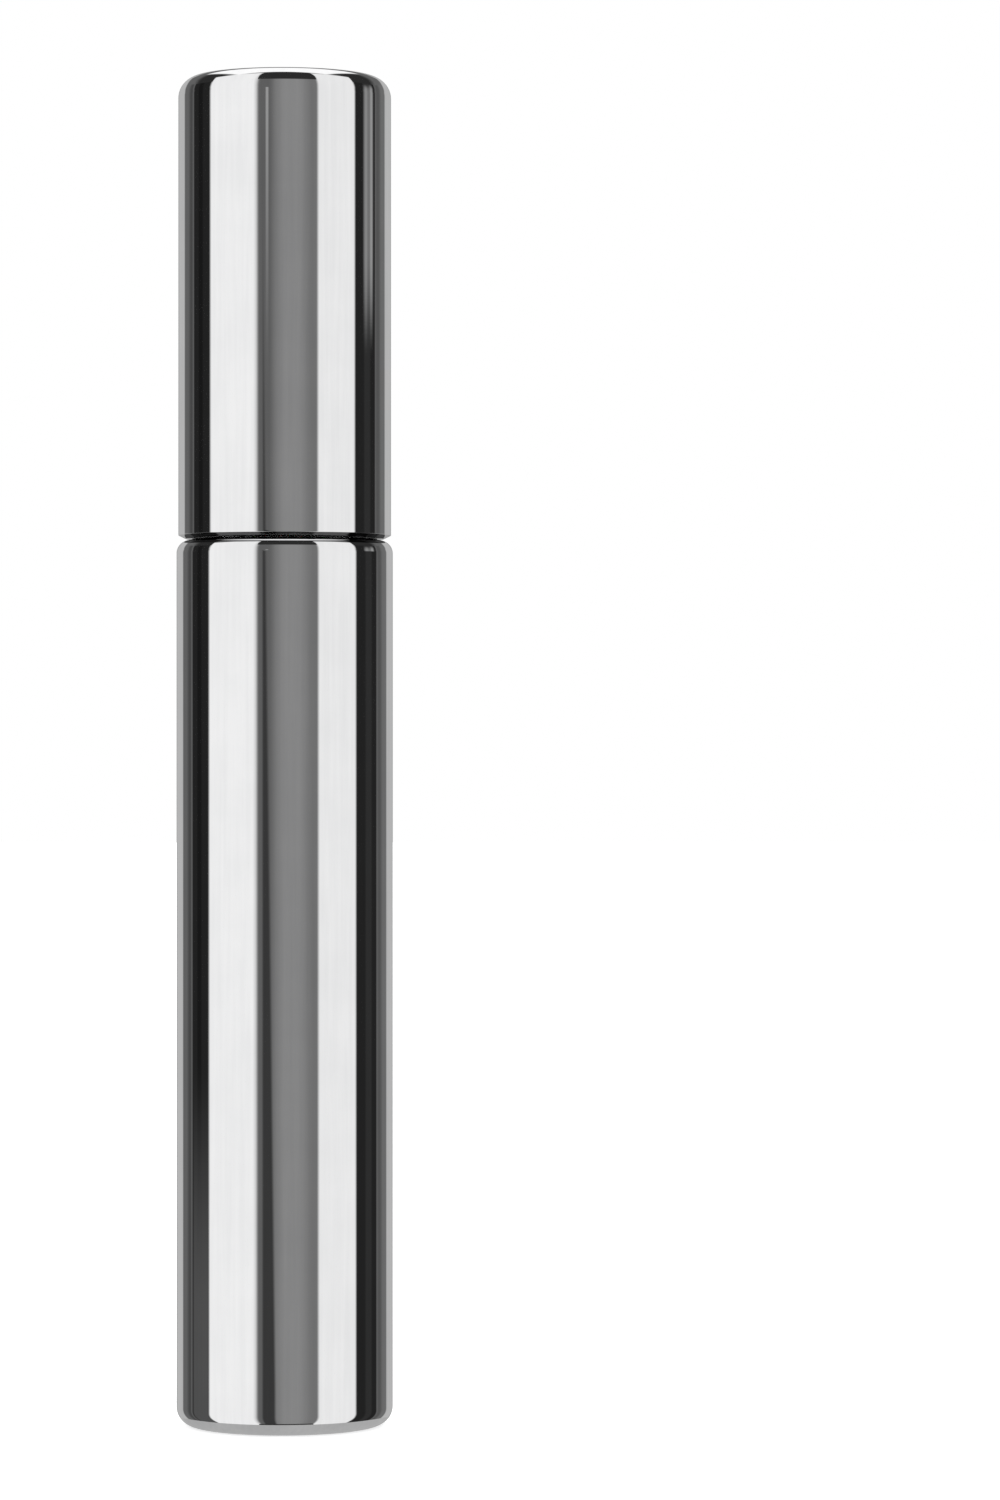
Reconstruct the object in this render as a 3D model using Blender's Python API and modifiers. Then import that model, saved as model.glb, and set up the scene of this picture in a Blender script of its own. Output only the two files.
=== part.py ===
"""A mascara tube: a chromed bottle, and a screw cap that carries the wand and its brush.

The tube stands closed on its base, with the origin at the centre of the base and +Z up.
Everything turns about the Z axis. The cap unscrews anticlockwise, seen from above, on a
right-hand thread, and the wand then lifts straight out of the neck.
"""

import math

import bmesh
import bpy

MM = 0.001

# Driving dimensions
HEIGHT = 114.1 * MM
CAP_RADIUS = 9.0 * MM
BOTTLE_RADIUS = 9.15 * MM
SHELL_WALL = 1.2 * MM
FIT_GAP = 0.3 * MM  # between pieces that touch
SMALL_EDGE = 0.25 * MM  # the chamfer on an edge that is never seen from outside
CAP_RIM_Z = 75.0 * MM
SHELL_TOP_Z = 74.88 * MM

CAP_TOP_FILLET = 1.8 * MM
CAP_RIM_BEVEL = 0.6 * MM  # the width and height of the shallow bevel under the rim
CAP_RIM_RISE = 0.22 * MM
SHOULDER_FILLET = 1.1 * MM
BASE_FILLET = 1.6 * MM

RECESS_RADIUS = 6.1 * MM
RECESS_DEPTH = 0.8 * MM
RECESS_DRAFT = 0.2 * MM
LABEL_RADIUS = 5.6 * MM
LABEL_THICKNESS = 0.2 * MM
SHELL_FLOOR = 1.0 * MM

VIAL_RADIUS = 7.6 * MM
VIAL_WALL = 1.0 * MM
VIAL_BOTTOM_Z = 8.7 * MM
VIAL_FLOOR = 1.1 * MM
VIAL_SHOULDER_Z = 72.4 * MM
VIAL_EDGE = 0.6 * MM
NECK_RADIUS = 5.6 * MM
NECK_BORE = 4.7 * MM
NECK_TOP_Z = 88.5 * MM
NECK_EDGE = 0.2 * MM

THREAD_LEAD = 3.0 * MM
NECK_THREAD_Z = 79.5 * MM
NECK_THREAD_TURNS = 2.0
NECK_THREAD_RIDGE = 0.85 * MM
CAP_THREAD_START = 0.25  # turns past the start of the neck's thread
CAP_THREAD_TURNS = 1.5
CAP_THREAD_RIDGE = 0.75 * MM
THREAD_RUN_OUT = 0.1  # turns
THREAD_END_SCALE = 0.35  # of the ridge's radius, where it sinks into the wall
THREAD_STEPS = 24  # a turn

COLLAR_TOP_Z = 74.65 * MM

WIPER_FLANGE = 0.5 * MM
WIPER_FLANGE_RADIUS = 5.5 * MM
WIPER_SKIRT_RADIUS = 4.35 * MM
WIPER_BORE = 3.65 * MM
WIPER_SKIRT_Z = 78.0 * MM
WIPER_LIP_Z = 74.6 * MM
WIPER_LIP_RADIUS = 2.25 * MM
WIPER_LIP_WALL = 0.5 * MM
WIPER_BEAD = 0.12 * MM
WIPER_BEAD_DEPTH = 3.0 * MM

WASHER_BOTTOM_Z = 89.6 * MM
WASHER_THICKNESS = 0.8 * MM
WASHER_RADIUS = 5.5 * MM
WASHER_BORE = 3.1 * MM

WEB_BOTTOM_Z = 90.7 * MM
WEB_THICKNESS = 1.5 * MM
INNER_CAP_RADIUS = 7.5 * MM
INNER_CAP_BORE = 6.75 * MM
INNER_CAP_BOTTOM_Z = 75.4 * MM
INNER_CAP_TOP_Z = 105.0 * MM
UPPER_BORE_STEP = 0.15 * MM
SOCKET_RADIUS = 2.2 * MM
SOCKET_TOP_Z = 98.0 * MM
BOSS_RADIUS = 3.4 * MM
BOSS_ROOF = 1.2 * MM

WEIGHT_RADIUS = 7.4 * MM
WEIGHT_CHAMFER = 0.8 * MM

ROD_RADIUS = 1.92 * MM
ROD_TIP_Z = 35.1 * MM
ROD_TIP_DRAFT = 0.33 * MM
ROD_TIP_LENGTH = 3.9 * MM
ROD_TIP_EDGE = 0.3 * MM
ROD_COLLAR_RADIUS = 2.8 * MM
ROD_COLLAR_BOTTOM_Z = 83.4 * MM
ROD_HOLE_RADIUS = 0.95 * MM
ROD_HOLE_DEPTH = 8.0 * MM
RING_Z = 85.1 * MM
RING_RADIUS = 2.85 * MM
RING_SECTION = 0.45 * MM
GROOVE_CLEARANCE = 0.35 * MM

BRUSH_TIP_Z = 10.9 * MM
BRUSH_RADIUS = 3.9 * MM
BRUSH_TIP_RADIUS = 2.45 * MM
BRUSH_TAPER_LENGTH = 8.65 * MM
BRUSH_BORE = 0.98 * MM
WIRE_RADIUS = 0.3 * MM
WIRE_HELIX_RADIUS = 0.35 * MM
WIRE_LEAD = 3.46 * MM  # left-hand
WIRE_LOOP_RADIUS = 0.45 * MM
WIRE_STEPS = 10  # a turn

SEGMENTS = 48
SMALL_SEGMENTS = 32
MERGE = 0.00001


def clear_scene():
    for obj in list(bpy.data.objects):
        bpy.data.objects.remove(obj, do_unlink=True)


def new_collection(name):
    made = bpy.data.collections.new(name)
    bpy.context.scene.collection.children.link(made)
    return made


def new_material(name, colour, roughness, metallic=0.0):
    made = bpy.data.materials.new(name)
    made.use_nodes = True
    shader = made.node_tree.nodes["Principled BSDF"]
    shader.inputs["Base Color"].default_value = (*colour, 1.0)
    shader.inputs["Roughness"].default_value = roughness
    shader.inputs["Metallic"].default_value = metallic
    made.diffuse_color = (*colour, 1.0)
    return made


def move_to(obj, collection):
    for old in list(obj.users_collection):
        old.objects.unlink(obj)
    collection.objects.link(obj)


def arc(centre, radius, start, end, steps=6):
    """Points (r, z) from angle start to angle end, in degrees, anticlockwise from +r."""
    angles = [math.radians(start + (end - start) * i / steps) for i in range(steps + 1)]
    return [(centre[0] + radius * math.cos(a), centre[1] + radius * math.sin(a)) for a in angles]


def turned(name, profile, material, collection, segments=SEGMENTS, closed=False):
    """A solid of revolution. The profile runs down its outer side; an open one ends on the axis."""
    mesh = bpy.data.meshes.new(name)
    points = [(r, 0.0, z) for r, z in profile]
    edges = [(i, i + 1) for i in range(len(points) - 1)]
    if closed:
        edges.append((len(points) - 1, 0))
    mesh.from_pydata(points, edges, [])
    mesh.materials.append(material)
    obj = bpy.data.objects.new(name, mesh)
    collection.objects.link(obj)
    screw = obj.modifiers.new("Turn", "SCREW")
    screw.axis = "Z"
    screw.angle = math.tau
    screw.steps = segments
    screw.render_steps = segments
    screw.use_merge_vertices = True
    screw.merge_threshold = MERGE
    screw.use_smooth_shade = True
    return obj


def swept(name, points, radius, collection, sides=8, scales=None):
    """A round wire along a list of points, as a curve with filled ends."""
    curve = bpy.data.curves.new(name, "CURVE")
    curve.dimensions = "3D"
    curve.bevel_depth = radius
    curve.bevel_resolution = (sides - 4) // 2
    curve.use_fill_caps = True
    spline = curve.splines.new("POLY")
    spline.points.add(len(points) - 1)
    for i, point in enumerate(points):
        spline.points[i].co = (*point, 1.0)
        spline.points[i].radius = scales[i] if scales else 1.0
    obj = bpy.data.objects.new(name, curve)
    collection.objects.link(obj)
    return obj


def curve_to_mesh(obj, collection):
    """The curve's own shape as a mesh object with welded caps. The curve is removed."""
    name = obj.name
    bpy.context.view_layer.update()
    graph = bpy.context.evaluated_depsgraph_get()
    mesh = bpy.data.meshes.new_from_object(obj.evaluated_get(graph))
    work = bmesh.new()
    work.from_mesh(mesh)
    bmesh.ops.remove_doubles(work, verts=work.verts, dist=MERGE / 10)
    bmesh.ops.recalc_face_normals(work, faces=work.faces)
    work.to_mesh(mesh)
    work.free()
    placed = obj.matrix_world.copy()
    bpy.data.objects.remove(obj, do_unlink=True)
    made = bpy.data.objects.new(name, mesh)
    made.matrix_world = placed
    collection.objects.link(made)
    return made


def thread_ridge(name, radius, ridge, z_start, first_turn, turns, tools):
    """A right-hand round ridge on a cylinder of this radius. Its ends shrink into the wall."""
    steps = round(THREAD_STEPS * turns)
    points, scales = [], []
    for i in range(steps + 1):
        turn = turns * i / steps
        angle = math.tau * (first_turn + turn)
        height = z_start + THREAD_LEAD * (first_turn + turn)
        points.append((radius * math.cos(angle), radius * math.sin(angle), height))
        from_end = min(turn, turns - turn)
        grown = min(1.0, from_end / THREAD_RUN_OUT)
        scales.append(THREAD_END_SCALE + (1.0 - THREAD_END_SCALE) * grown)
    ridge_object = curve_to_mesh(swept(name, points, ridge, tools, scales=scales), tools)
    ridge_object.hide_render = True
    ridge_object.display_type = "WIRE"
    return ridge_object


def join_with(obj, other):
    union = obj.modifiers.new(other.name, "BOOLEAN")
    union.operation = "UNION"
    union.solver = "EXACT"
    union.object = other


def bottle_shell(material, parts):
    inner = BOTTLE_RADIUS - SHELL_WALL
    land = BOTTLE_RADIUS - SHOULDER_FILLET
    foot = BOTTLE_RADIUS - BASE_FILLET
    floor = RECESS_DEPTH + SHELL_FLOOR
    profile = [(0, floor), (inner - SMALL_EDGE, floor), (inner, floor + SMALL_EDGE)]
    profile += [(inner, SHELL_TOP_Z)]
    profile += arc((land, SHELL_TOP_Z - SHOULDER_FILLET), SHOULDER_FILLET, 90, 0)
    profile += arc((foot, BASE_FILLET), BASE_FILLET, 0, -90)
    profile += [(RECESS_RADIUS + RECESS_DRAFT, 0), (RECESS_RADIUS, RECESS_DEPTH)]
    profile += [(0, RECESS_DEPTH)]
    return turned("bottle_shell", profile, material, parts)


def base_label(material, parts):
    z_middle = RECESS_DEPTH - FIT_GAP - LABEL_THICKNESS / 2
    bpy.ops.mesh.primitive_cylinder_add(
        vertices=SEGMENTS, radius=LABEL_RADIUS, depth=LABEL_THICKNESS, location=(0, 0, z_middle)
    )
    label = bpy.context.object
    label.name = "base_label"
    label.data.materials.append(material)
    move_to(label, parts)
    return label


def slug(name, radius, bottom, top, material, parts):
    """A steel weight: a cylinder with both its edges cut at 45 degrees."""
    bpy.ops.mesh.primitive_cylinder_add(
        vertices=SEGMENTS, radius=radius, depth=top - bottom, location=(0, 0, (bottom + top) / 2)
    )
    weight = bpy.context.object
    weight.name = name
    weight.data.materials.append(material)
    bevel = weight.modifiers.new("Chamfer", "BEVEL")
    bevel.width = WEIGHT_CHAMFER
    bevel.segments = 1
    bevel.limit_method = "ANGLE"
    bevel.angle_limit = math.radians(60)
    move_to(weight, parts)
    return weight


def inner_bottle(material, parts, tools):
    """The vial that holds the mascara, with its threaded neck."""
    inner = VIAL_RADIUS - VIAL_WALL
    floor = VIAL_BOTTOM_Z + VIAL_FLOOR
    shoulder = VIAL_SHOULDER_Z - VIAL_WALL
    slope = inner - NECK_BORE
    profile = [(0, floor)]
    profile += arc((inner - VIAL_EDGE, floor + VIAL_EDGE), VIAL_EDGE, -90, 0, steps=3)
    profile += [(inner, shoulder - slope), (NECK_BORE, shoulder)]
    profile += [(NECK_BORE, NECK_TOP_Z), (NECK_RADIUS - NECK_EDGE, NECK_TOP_Z)]
    profile += [(NECK_RADIUS, NECK_TOP_Z - NECK_EDGE), (NECK_RADIUS, VIAL_SHOULDER_Z)]
    profile += arc((VIAL_RADIUS - VIAL_EDGE, VIAL_SHOULDER_Z - VIAL_EDGE), VIAL_EDGE, 90, 0, steps=3)
    profile += arc((VIAL_RADIUS - VIAL_EDGE, VIAL_BOTTOM_Z + VIAL_EDGE), VIAL_EDGE, 0, -90, steps=3)
    profile += [(0, VIAL_BOTTOM_Z)]
    vial = turned("inner_bottle", profile, material, parts)
    join_with(
        vial,
        thread_ridge(
            "neck_thread", NECK_RADIUS, NECK_THREAD_RIDGE, NECK_THREAD_Z, 0.0, NECK_THREAD_TURNS, tools
        ),
    )
    return vial


def shoulder_collar(material, parts):
    """The ring that closes the shell's mouth round the neck."""
    edge = SMALL_EDGE
    outer = VIAL_RADIUS
    inner = NECK_RADIUS + FIT_GAP
    bottom = VIAL_SHOULDER_Z + FIT_GAP
    profile = [(inner, bottom), (inner, COLLAR_TOP_Z - edge), (inner + edge, COLLAR_TOP_Z)]
    profile += [(outer - edge, COLLAR_TOP_Z), (outer, COLLAR_TOP_Z - edge), (outer, bottom)]
    return turned("shoulder_collar", profile, material, parts, closed=True)


def wiper(material, parts):
    """The soft sleeve in the neck, whose lip wipes the wand."""
    flange_bottom = NECK_TOP_Z + FIT_GAP
    flange_top = flange_bottom + WIPER_FLANGE
    lip_outer = WIPER_LIP_RADIUS + WIPER_LIP_WALL
    bead_z = NECK_TOP_Z - WIPER_BEAD_DEPTH
    bead_half = 4 * WIPER_BEAD
    profile = [(WIPER_BORE, flange_top), (WIPER_FLANGE_RADIUS, flange_top)]
    profile += [(WIPER_FLANGE_RADIUS, flange_bottom), (WIPER_SKIRT_RADIUS, flange_bottom)]
    profile += [(WIPER_SKIRT_RADIUS, bead_z + bead_half), (WIPER_SKIRT_RADIUS + WIPER_BEAD, bead_z)]
    profile += [(WIPER_SKIRT_RADIUS, bead_z - bead_half), (WIPER_SKIRT_RADIUS, WIPER_SKIRT_Z)]
    profile += [(lip_outer, WIPER_LIP_Z), (WIPER_LIP_RADIUS, WIPER_LIP_Z)]
    profile += [(WIPER_LIP_RADIUS, WIPER_LIP_Z + WIPER_LIP_WALL), (WIPER_BORE, WIPER_SKIRT_Z)]
    return turned("wiper", profile, material, parts, segments=SMALL_SEGMENTS, closed=True)


def cap_seal_washer(material, parts):
    top = WASHER_BOTTOM_Z + WASHER_THICKNESS
    profile = [(WASHER_BORE, top), (WASHER_RADIUS, top)]
    profile += [(WASHER_RADIUS, WASHER_BOTTOM_Z), (WASHER_BORE, WASHER_BOTTOM_Z)]
    return turned("cap_seal_washer", profile, material, parts, segments=SMALL_SEGMENTS, closed=True)


def wand_o_ring(material, parts):
    bpy.ops.mesh.primitive_torus_add(
        major_radius=RING_RADIUS,
        minor_radius=RING_SECTION,
        major_segments=SMALL_SEGMENTS,
        minor_segments=10,
        location=(0, 0, RING_Z),
    )
    ring = bpy.context.object
    ring.name = "wand_o_ring"
    ring.data.materials.append(material)
    ring.data.shade_smooth()
    move_to(ring, parts)
    return ring


def cap_shell(material, parts):
    inner = CAP_RADIUS - SHELL_WALL
    corner = (CAP_RADIUS - CAP_TOP_FILLET, HEIGHT - CAP_TOP_FILLET)
    profile = [(0, HEIGHT)]
    profile += arc(corner, CAP_TOP_FILLET, 90, 0)
    profile += [(CAP_RADIUS, CAP_RIM_Z + CAP_RIM_RISE), (CAP_RADIUS - CAP_RIM_BEVEL, CAP_RIM_Z)]
    profile += [(inner, CAP_RIM_Z)]
    profile += arc(corner, CAP_TOP_FILLET - SHELL_WALL, 0, 90, steps=3)
    profile += [(0, HEIGHT - SHELL_WALL)]
    return turned("cap_shell", profile, material, parts)


def inner_cap(material, parts, tools):
    """The threaded liner of the cap. Its web carries the socket that holds the wand."""
    edge = SMALL_EDGE
    web_top = WEB_BOTTOM_Z + WEB_THICKNESS
    upper_bore = INNER_CAP_BORE - UPPER_BORE_STEP
    profile = [(0, SOCKET_TOP_Z + BOSS_ROOF), (BOSS_RADIUS - edge, SOCKET_TOP_Z + BOSS_ROOF)]
    profile += [(BOSS_RADIUS, SOCKET_TOP_Z + BOSS_ROOF - edge), (BOSS_RADIUS, web_top)]
    profile += [(upper_bore, web_top), (upper_bore, INNER_CAP_TOP_Z)]
    profile += [(INNER_CAP_RADIUS, INNER_CAP_TOP_Z), (INNER_CAP_RADIUS, INNER_CAP_BOTTOM_Z + edge)]
    profile += [(INNER_CAP_RADIUS - edge, INNER_CAP_BOTTOM_Z)]
    profile += [(INNER_CAP_BORE, INNER_CAP_BOTTOM_Z), (INNER_CAP_BORE, WEB_BOTTOM_Z)]
    profile += [(SOCKET_RADIUS, WEB_BOTTOM_Z), (SOCKET_RADIUS, SOCKET_TOP_Z), (0, SOCKET_TOP_Z)]
    liner = turned("inner_cap", profile, material, parts)
    half_pitch_up = NECK_THREAD_Z + THREAD_LEAD / 2
    join_with(
        liner,
        thread_ridge(
            "cap_thread",
            INNER_CAP_BORE,
            CAP_THREAD_RIDGE,
            half_pitch_up,
            CAP_THREAD_START,
            CAP_THREAD_TURNS,
            tools,
        ),
    )
    return liner


def rod_radius(above_tip):
    """The rod's radius at this height above its tip: it draws in a little towards the brush."""
    share = max(0.0, 1.0 - above_tip / ROD_TIP_LENGTH)
    return ROD_RADIUS - ROD_TIP_DRAFT * share**2


def wand_rod(material, parts):
    groove = RING_RADIUS - RING_SECTION - GROOVE_CLEARANCE
    half_groove = RING_SECTION + GROOVE_CLEARANCE
    spigot_top = SOCKET_TOP_Z - FIT_GAP
    collar_top = WEB_BOTTOM_Z - FIT_GAP
    edge = ROD_TIP_EDGE
    profile = [(0, spigot_top), (ROD_RADIUS - edge, spigot_top), (ROD_RADIUS, spigot_top - edge)]
    profile += [(ROD_RADIUS, collar_top), (ROD_COLLAR_RADIUS, collar_top)]
    profile += [(ROD_COLLAR_RADIUS, RING_Z + half_groove), (groove, RING_Z + half_groove)]
    profile += [(groove, RING_Z - half_groove), (ROD_COLLAR_RADIUS, RING_Z - half_groove)]
    profile += [(ROD_COLLAR_RADIUS, ROD_COLLAR_BOTTOM_Z)]
    profile += [(ROD_RADIUS, ROD_COLLAR_BOTTOM_Z - (ROD_COLLAR_RADIUS - ROD_RADIUS))]
    for share in (1.0, 0.7, 0.45, 0.25, 0.1):
        above = share * ROD_TIP_LENGTH
        profile += [(rod_radius(above), ROD_TIP_Z + above)]
    profile += [(rod_radius(0) - edge / 3, ROD_TIP_Z + edge / 3)]
    profile += [(rod_radius(0) - edge, ROD_TIP_Z), (ROD_HOLE_RADIUS, ROD_TIP_Z)]
    profile += [(ROD_HOLE_RADIUS, ROD_TIP_Z + ROD_HOLE_DEPTH), (0, ROD_TIP_Z + ROD_HOLE_DEPTH)]
    return turned("wand_rod", profile, material, parts, segments=SMALL_SEGMENTS)


def brush_wire(material, parts):
    """One wire, bent double at the tip of the brush and twisted to the left."""
    top = ROD_TIP_Z + ROD_HOLE_DEPTH - 2 * FIT_GAP
    loop_z = BRUSH_TIP_Z + WIRE_RADIUS + WIRE_LOOP_RADIUS
    length = top - loop_z
    steps = round(WIRE_STEPS * length / WIRE_LEAD)
    spread = WIRE_LEAD / 4  # the height over which the strands part into the loop

    def strand(side, i):
        height = length * i / steps
        opened = max(0.0, 1.0 - height / spread)
        radius = WIRE_HELIX_RADIUS + (WIRE_LOOP_RADIUS - WIRE_HELIX_RADIUS) * opened
        angle = -math.tau * height / WIRE_LEAD
        return (side * radius * math.cos(angle), side * radius * math.sin(angle), loop_z + height)

    points = [strand(1, i) for i in range(steps, -1, -1)]
    bend = 8
    for i in range(1, bend):
        angle = math.pi * i / bend
        sideways, down = WIRE_LOOP_RADIUS * math.cos(angle), WIRE_LOOP_RADIUS * math.sin(angle)
        points.append((sideways, 0.0, loop_z - down))
    points += [strand(-1, i) for i in range(steps + 1)]
    wire = swept("brush_wire", points, WIRE_RADIUS, parts, sides=6)
    wire.data.materials.append(material)
    return wire


def bristles(material, parts):
    """The space that the bristles fill round the wire, pierced for it from end to end."""
    top = ROD_TIP_Z - FIT_GAP
    bottom = BRUSH_TIP_Z + FIT_GAP
    profile = [(BRUSH_BORE, top), (BRUSH_RADIUS, top), (BRUSH_RADIUS, bottom + BRUSH_TAPER_LENGTH)]
    profile += [(BRUSH_TIP_RADIUS, bottom), (BRUSH_BORE, bottom)]
    return turned("bristles", profile, material, parts, segments=SMALL_SEGMENTS, closed=True)


def main():
    clear_scene()
    parts = new_collection("mascara_tube")
    tools = new_collection("tools")
    chrome = new_material("bright chrome plating", (0.86, 0.86, 0.87), 0.05, 1.0)
    steel = new_material("steel", (0.55, 0.55, 0.56), 0.35, 1.0)
    clear_plastic = new_material("natural PETG", (0.78, 0.80, 0.80), 0.2)
    milky_plastic = new_material("natural LDPE", (0.85, 0.85, 0.83), 0.45)
    black_plastic = new_material("gloss black plastic", (0.008, 0.008, 0.009), 0.12)
    rubber = new_material("black rubber", (0.02, 0.02, 0.02), 0.6)
    foam = new_material("white PE foam", (0.86, 0.86, 0.84), 0.8)
    paper = new_material("white label film", (0.85, 0.85, 0.85), 0.5)
    nylon = new_material("clear grey nylon", (0.45, 0.44, 0.43), 0.4)

    bottle_shell(chrome, parts)
    base_label(paper, parts)
    slug(
        "base_weight",
        VIAL_RADIUS,
        RECESS_DEPTH + SHELL_FLOOR + FIT_GAP,
        VIAL_BOTTOM_Z - FIT_GAP,
        steel,
        parts,
    )
    inner_bottle(clear_plastic, parts, tools)
    shoulder_collar(chrome, parts)
    wiper(milky_plastic, parts)
    cap_seal_washer(foam, parts)
    wand_o_ring(rubber, parts)
    cap_shell(chrome, parts)
    inner_cap(black_plastic, parts, tools)
    slug(
        "cap_weight",
        WEIGHT_RADIUS,
        INNER_CAP_TOP_Z + FIT_GAP,
        HEIGHT - SHELL_WALL - FIT_GAP,
        steel,
        parts,
    )
    wand_rod(black_plastic, parts)
    brush_wire(steel, parts)
    bristles(nylon, parts)


main()
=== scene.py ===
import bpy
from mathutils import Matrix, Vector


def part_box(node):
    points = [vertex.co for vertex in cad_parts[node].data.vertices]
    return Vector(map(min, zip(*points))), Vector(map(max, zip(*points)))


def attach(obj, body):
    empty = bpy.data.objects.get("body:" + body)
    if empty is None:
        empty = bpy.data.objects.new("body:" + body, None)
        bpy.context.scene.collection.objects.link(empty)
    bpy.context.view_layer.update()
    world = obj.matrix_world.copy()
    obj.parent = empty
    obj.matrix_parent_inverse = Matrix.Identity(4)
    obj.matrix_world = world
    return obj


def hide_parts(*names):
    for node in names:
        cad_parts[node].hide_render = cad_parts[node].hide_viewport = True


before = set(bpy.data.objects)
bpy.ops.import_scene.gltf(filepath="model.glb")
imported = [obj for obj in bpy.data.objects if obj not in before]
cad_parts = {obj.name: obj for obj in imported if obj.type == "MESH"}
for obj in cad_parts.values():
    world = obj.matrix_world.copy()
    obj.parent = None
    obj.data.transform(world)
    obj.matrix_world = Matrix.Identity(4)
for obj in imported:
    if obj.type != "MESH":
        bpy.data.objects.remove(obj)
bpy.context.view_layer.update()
boxes = {node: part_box(node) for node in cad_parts}

# The looks of a chromed mascara tube: fine pieces for every CAD node, their materials, the studio
# and the camera. Lengths are in metres, and angles in radians unless a name says degrees.

import math
import random

import bpy
from mathutils import Matrix, Vector

MM = 0.001

# Fineness of the turned pieces
SEGMENTS = 192
SMALL_SEGMENTS = 96
ARC_STEP = math.radians(8)  # the most that an arc turns between two points of an outline
HOLD = 0.12 * MM  # how near each end of a straight run a holding ring stands

# Sections that the CAD boxes don't tell
SHELL_WALL = 1.2 * MM
CAP_TOP_FILLET = 1.8 * MM
CAP_RIM_BEVEL = 0.6 * MM
CAP_RIM_RISE = 0.3 * MM
RIM_EDGE = 0.05 * MM
SHOULDER_FILLET = 1.1 * MM
BASE_FILLET = 1.6 * MM
LIP_EDGE = 0.08 * MM
COLLAR_CLEARANCE = 0.3 * MM
RECESS_RADIUS = 6.1 * MM
RECESS_DEPTH = 0.8 * MM
RECESS_DRAFT = 0.2 * MM
RECESS_ROUNDING = 0.15 * MM
SHELL_FLOOR = 1.0 * MM

VIAL_WALL = 1.0 * MM
VIAL_FLOOR = 1.1 * MM
VIAL_SHOULDER_Z = 72.4 * MM
VIAL_EDGE = 0.6 * MM
NECK_RADIUS = 5.6 * MM
NECK_BORE = 4.7 * MM

THREAD_LEAD = 3.0 * MM
NECK_THREAD_Z = 79.5 * MM
NECK_THREAD_TURNS = 2.0
NECK_THREAD_HEIGHT = 0.82 * MM
CAP_THREAD_START = 0.25  # turns past the start of the neck's thread
CAP_THREAD_TURNS = 1.5
CAP_THREAD_HEIGHT = 0.72 * MM
THREAD_CREST = 0.22  # half widths, as shares of the height
THREAD_FOOT = 0.98
THREAD_RUN_OUT = 0.12  # turns
THREAD_ROW = 0.1 * MM

WIPER_SKIRT_RADIUS = 4.35 * MM
WIPER_BORE = 3.65 * MM
WIPER_SKIRT_Z = 78.0 * MM
WIPER_LIP_RADIUS = 2.25 * MM
WIPER_LIP_WALL = 0.5 * MM
WIPER_FLANGE = 0.5 * MM
WIPER_BEAD = 0.12 * MM
WIPER_BEAD_DEPTH = 3.8 * MM

WASHER_BORE = 3.1 * MM

INNER_CAP_BORE = 6.75 * MM
UPPER_BORE = 6.6 * MM
WEB_BOTTOM_Z = 90.7 * MM
WEB_THICKNESS = 1.5 * MM
SOCKET_RADIUS = 2.2 * MM
SOCKET_TOP_Z = 98.0 * MM
BOSS_RADIUS = 3.4 * MM
BOSS_ROOF = 1.2 * MM

ROD_RADIUS = 1.92 * MM
ROD_TIP_DRAFT = 0.33 * MM
ROD_TIP_LENGTH = 3.9 * MM
ROD_TIP_EDGE = 0.3 * MM
ROD_COLLAR_BOTTOM_Z = 83.4 * MM
ROD_HOLE_RADIUS = 0.95 * MM
ROD_HOLE_DEPTH = 8.0 * MM
GROOVE_CLEARANCE = 0.35 * MM

BRUSH_TIP_RADIUS = 2.45 * MM
BRUSH_TAPER_LENGTH = 8.65 * MM
WIRE_RADIUS = 0.3 * MM
WIRE_HELIX_RADIUS = 0.35 * MM
WIRE_LEAD = 3.46 * MM  # left-hand
WIRE_LOOP_RADIUS = 0.45 * MM

# The brush's fibres
FIBRES_PER_MM = 30
FIBRE_RADIUS = 0.04 * MM
FIBRE_SIDES = 5
FIBRE_STEPS = 5
FIBRE_ROOT = 0.3 * MM
SPREAD_BUNCHED = 0.15  # radians, on the side where a tuft is bunched,
SPREAD_FANNED = 0.6  # and where it is fanned
GATHERED = 0.5  # the share of the way that a bunched fibre's end is drawn to its clump
GATHERED_LESS = 0.6  # and the share of that which a fanned one's isn't
END_SCATTER = 0.05 * MM
CUT_SCATTER = 0.012  # as a share of the fibre's reach
BOW = 0.05  # radians that a fibre bends sideways by its end
FAN_START = 0.3  # how much of its own angle a fibre has at the wire
RISE_POWER = 1.3
CLUMP = 0.42 * MM
TIP_ZONE = 1.2 * MM
BARE_WIRE = 1.3 * MM  # next to the rod, where only stray fibres are left

STRAYS_LEFT = 0.16  # the share of them that is there
STRAY_DROOP = (0.3, 1.0)  # in mm, towards the tip
SHORT_FIBRES = 0.06  # the share of all fibres that is cut shorter than the rest
SHORT_BY = 0.12
TIP_DROOP = 0.45  # in mm, at the very tip

# Painted reflections for the tube's foot, seen only in reflections: a glowing pale disc under it
# that reaches past it, and a dark strip beyond
PAINTED_GLOW_REACH = 1.3 * MM
FOOT_Z = -0.5 * MM
PAINTED_STRIP_WIDTH = 0.55 * MM
PAINTED_STRIP_FROM, PAINTED_STRIP_TO = -16.5, 18.5  # degrees from the camera's side

# The camera stands level, at the height of the tube's middle
CAMERA_PLACE = (0.01823, -0.4746, 0.05714)
CAMERA_LENS = 134.48
SENSOR = 36.0

METAL_REFLECTS = 0.88  # of the light that falls on it
FLOOR_RADIUS = 3.0
FLOOR_Z = -0.05 * MM
FLOOR_GLOW = 0.58


def low(node):
    return boxes[node][0]


def high(node):
    return boxes[node][1]


# ---------------------------------------------------------------- outlines and meshes


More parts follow.
